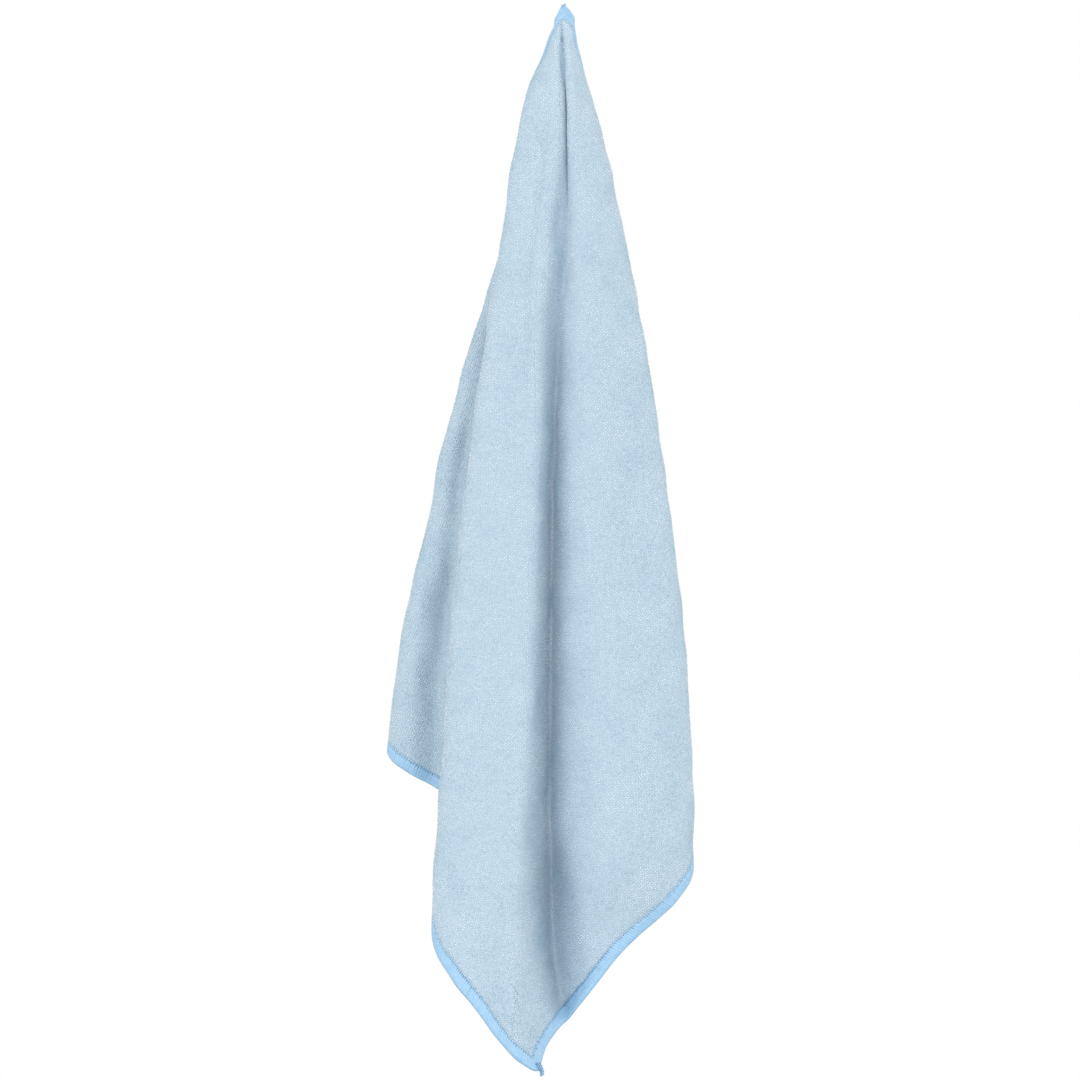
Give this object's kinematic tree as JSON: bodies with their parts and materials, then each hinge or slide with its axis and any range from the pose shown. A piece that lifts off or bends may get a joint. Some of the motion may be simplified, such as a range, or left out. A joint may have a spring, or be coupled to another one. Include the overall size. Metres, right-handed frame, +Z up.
{
  "type": "microfibre cloth",
  "caption": "Pale blue terry microfibre cloth with an overlocked hem, hanging from one corner in soft uneven folds.",
  "frame": {"origin": "the tip of the corner that the cloth hangs from", "axes": "+Z up, +X to the right as seen from the front, +Y towards the back, where the cloth's two free side corners hang"},
  "size_m": [0.1616, 0.1934, 0.5611],
  "materials": {
    "terry": "matt terry knit"
  },
  "bodies": {
    "root": {"cloth": "terry"}
  },
  "joints": []
}
